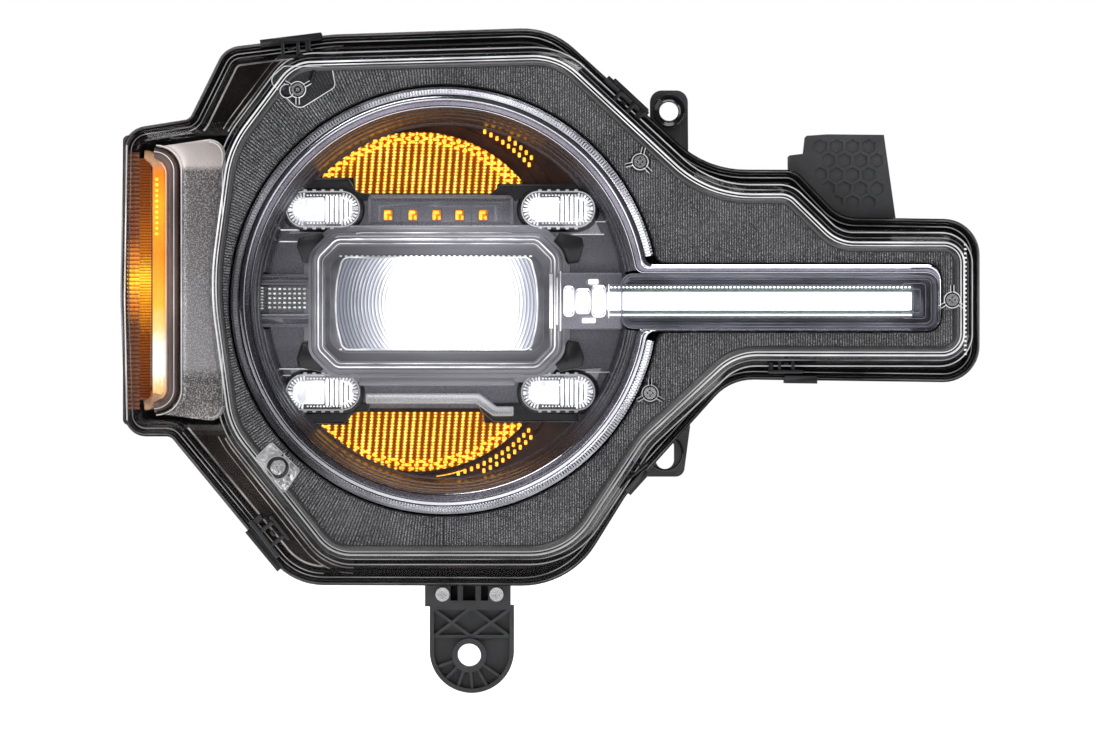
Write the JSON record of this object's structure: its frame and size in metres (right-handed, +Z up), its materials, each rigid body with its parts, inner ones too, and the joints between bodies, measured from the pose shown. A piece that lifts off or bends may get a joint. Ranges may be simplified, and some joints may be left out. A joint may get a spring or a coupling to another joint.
{
  "type": "car headlight assembly",
  "caption": "Right-hand LED headlight: round lamp with a projector, accent lights and amber turn signals, a side marker pod and a light bar in an inboard arm.",
  "frame": {"origin": "centre of the bolt hole in the lower bracket, at the front of its boss", "axes": "+Z up, -Y towards the road ahead, +X inboard along the light bar's arm"},
  "size_m": [0.4744, 0.185, 0.369],
  "materials": {
    "black_housing": "moulded black plastic with a fine grain",
    "clear_lens": "clear hard-coated polycarbonate",
    "seal_rubber": "black sealant and gasket rubber",
    "black_clip": "smooth black plastic",
    "charcoal_bezel": "dark charcoal with a fine moulded rib",
    "screw_steel": "plated steel",
    "bright_trim": "vacuum-metallised bright plastic",
    "gloss_black": "polished black plastic",
    "amber_lens": "fluted amber plastic",
    "reflector": "metallised reflector",
    "clear_optic": "clear optical plastic",
    "circuit_board": "white solder mask on an aluminium board",
    "satin_silver": "satin silver paint with fine flake",
    "smoke": "smoky translucent plastic",
    "die_cast": "die-cast aluminium",
    "black_bracket": "glass-filled black plastic, matt",
    "nylon": "natural nylon",
    "dark_steel": "black coated steel"
  },
  "bodies": {
    "lamp": {"housing": "black_housing", "lens_seal": "seal_rubber", "front_lens": "clear_lens", "lens_clips": "black_clip", "bezel": "charcoal_bezel", "bezel_screws": "screw_steel", "ribbed_ring": "charcoal_bezel", "chrome_trim": "bright_trim", "inner_bowl": "gloss_black", "projector_surround": "gloss_black", "turn_lens_upper": "amber_lens", "turn_lens_lower": "amber_lens", "turn_reflector_upper": "reflector", "turn_reflector_lower": "reflector", "turn_led_boards": "circuit_board", "accent_lens_upper_left": "clear_optic", "accent_lens_upper_right": "clear_optic", "accent_lens_lower_left": "clear_optic", "accent_lens_lower_right": "clear_optic", "accent_led_boards": "circuit_board", "upper_trim_bar": "gloss_black", "amber_windows": "amber_lens", "lower_trim_bar": "satin_silver", "side_optic": "clear_optic", "side_optic_frame": "gloss_black", "pivot_studs": "screw_steel", "adjuster_housing": "black_bracket", "drl_light_guide": "clear_optic", "drl_collar": "clear_optic", "drl_tray": "gloss_black", "drl_led_board": "circuit_board", "marker_bezel": "satin_silver", "marker_frame": "smoke", "marker_light_pipe": "amber_lens", "marker_inner_lens": "amber_lens", "marker_reflector": "reflector", "marker_led_board": "circuit_board", "lower_bracket": "black_bracket", "side_bracket": "black_bracket", "bracket_screws": "screw_steel", "upper_mount_block": "black_bracket", "rear_cover": "black_housing", "gaskets": "seal_rubber", "cover_screws": "screw_steel", "led_driver": "die_cast", "inlet_connector": "black_bracket", "breather_vents": "black_bracket"},
    "projector_module": {"projector_lens": "clear_optic", "lens_holder": "gloss_black", "projector_housing": "black_housing", "projector_reflector": "reflector", "projector_led_board": "circuit_board", "heat_sink": "die_cast", "carrier_frame": "black_bracket", "ball_sockets": "nylon", "solenoid": "dark_steel"},
    "adjuster_stud": {"adjuster_stud": "nylon"},
    "adjuster_wheel": {"adjuster_wheel": "nylon"},
    "beam_shutter": {"beam_shutter": "dark_steel"},
    "solenoid_plunger": {"solenoid_plunger": "screw_steel"}
  },
  "joints": [
    {"name": "aim_tilt", "type": "hinge", "parent": "lamp", "child": "projector_module", "pos_m": [-0.0154, 0.014, 0.2335], "axis": [1, 0, 0], "range_deg": [-2.5, 2.5]},
    {"name": "adjuster_travel", "type": "slide", "parent": "lamp", "child": "adjuster_stud", "axis": [0, 1, 0], "range_m": [-0.0046, 0.0046]},
    {"name": "adjuster_turn", "type": "hinge", "parent": "lamp", "child": "adjuster_wheel", "pos_m": [-0.0154, 0.113, 0.1295], "axis": [0, 1, 0], "range_deg": [-830, 830]},
    {"name": "shutter_flip", "type": "hinge", "parent": "projector_module", "child": "beam_shutter", "pos_m": [-0.0176, -0.005, 0.1755], "axis": [1, 0, 0], "range_deg": [0, 28]},
    {"name": "plunger_travel", "type": "slide", "parent": "projector_module", "child": "solenoid_plunger", "axis": [0, 1, 0], "range_m": [0, 0.0051], "stiffness_N_per_m": 150, "springref_m": -0.004}
  ],
  "couplings": [
    {"joint": "adjuster_travel", "follows": "aim_tilt", "m_per_rad": 0.104},
    {"joint": "adjuster_turn", "follows": "aim_tilt", "ratio": 326.73},
    {"joint": "shutter_flip", "follows": "plunger_travel", "rad_per_m": 95.238}
  ]
}
